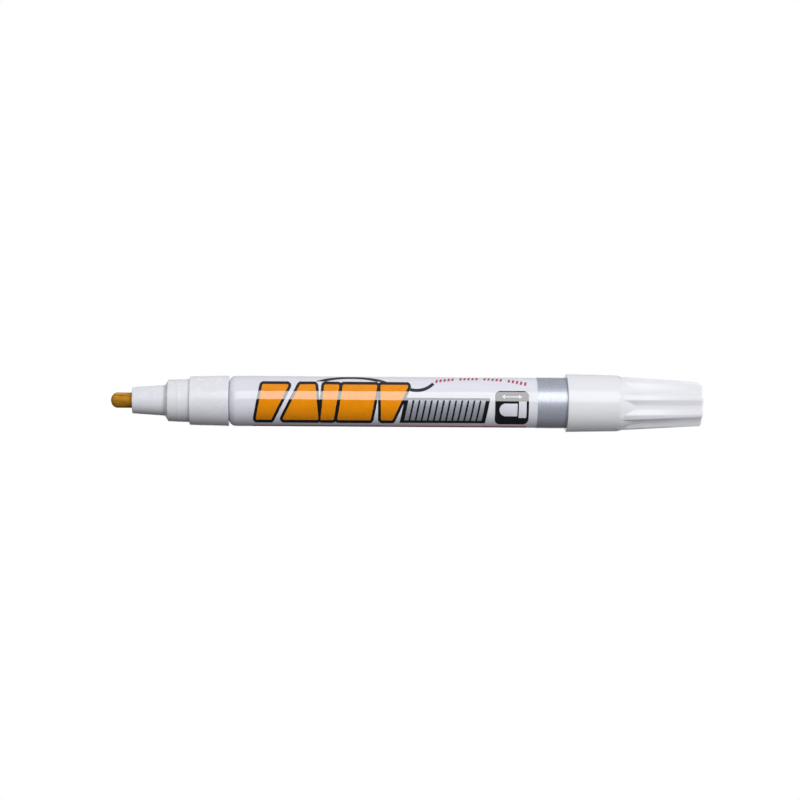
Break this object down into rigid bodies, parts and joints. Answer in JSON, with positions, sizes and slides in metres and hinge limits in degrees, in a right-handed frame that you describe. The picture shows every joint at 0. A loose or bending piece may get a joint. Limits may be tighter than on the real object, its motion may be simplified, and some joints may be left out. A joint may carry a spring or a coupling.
{
  "type": "oil-based paint marker",
  "caption": "Pump-valve paint marker with a bullet nib, a printed metal barrel and a ridged cap pushed onto the closed end; nib, valve, cap and mixing ball move.",
  "frame": {"origin": "centre of the cap's flat end face, on which the marker stands", "axes": "+Z along the marker's axis from the cap's end to the nib; -Y is the printed front; +X is the upper edge of the print"},
  "size_m": [0.0158, 0.0158, 0.16],
  "materials": {
    "white_plastic": "glossy moulded white plastic",
    "satin_plastic": "satin moulded white plastic",
    "soft_plastic": "soft natural plastic",
    "white_lacquer": "gloss white lacquer over drawn metal tube",
    "nib_fibre": "bonded fibre stained ochre by the paint",
    "black_rubber": "matt",
    "spring_steel": "drawn wire",
    "ball_steel": "polished",
    "orange_ink": "screen-printed ink under gloss varnish",
    "black_ink": "screen-printed ink under gloss varnish",
    "slate_ink": "screen-printed ink under gloss varnish",
    "silver_ink": "screen-printed metallic ink",
    "red_ink": "screen-printed ink under gloss varnish",
    "grey_ink": "screen-printed metallic grey ink"
  },
  "bodies": {
    "barrel": {"barrel": "white_lacquer", "neck_gasket": "soft_plastic", "valve_collar": "satin_plastic", "valve_cage": "soft_plastic", "nose": "satin_plastic", "valve_spring": "spring_steel", "print_orange": "orange_ink", "print_black": "black_ink", "print_swoosh": "slate_ink", "print_silver": "silver_ink", "print_red": "red_ink", "print_band": "grey_ink"},
    "cap": {"cap": "white_plastic", "inner_cap": "soft_plastic"},
    "nib_pump": {"nib": "nib_fibre", "valve_stem": "soft_plastic", "valve_washer": "black_rubber"},
    "mixing_ball": {"mixing_ball": "ball_steel"}
  },
  "joints": [
    {"name": "cap_pull", "type": "slide", "parent": "barrel", "child": "cap", "axis": [0, 0, -1], "range_m": [0, 0.02]},
    {"name": "nib_press", "type": "slide", "parent": "barrel", "child": "nib_pump", "axis": [0, 0, -1], "range_m": [0, 0.0025], "stiffness_N_per_m": 1200, "springref_m": -0.0015, "deforming": ["valve_spring"]},
    {"name": "ball_roll", "type": "slide", "parent": "barrel", "child": "mixing_ball", "axis": [0, 0, 1], "range_m": [0, 0.0818]}
  ]
}
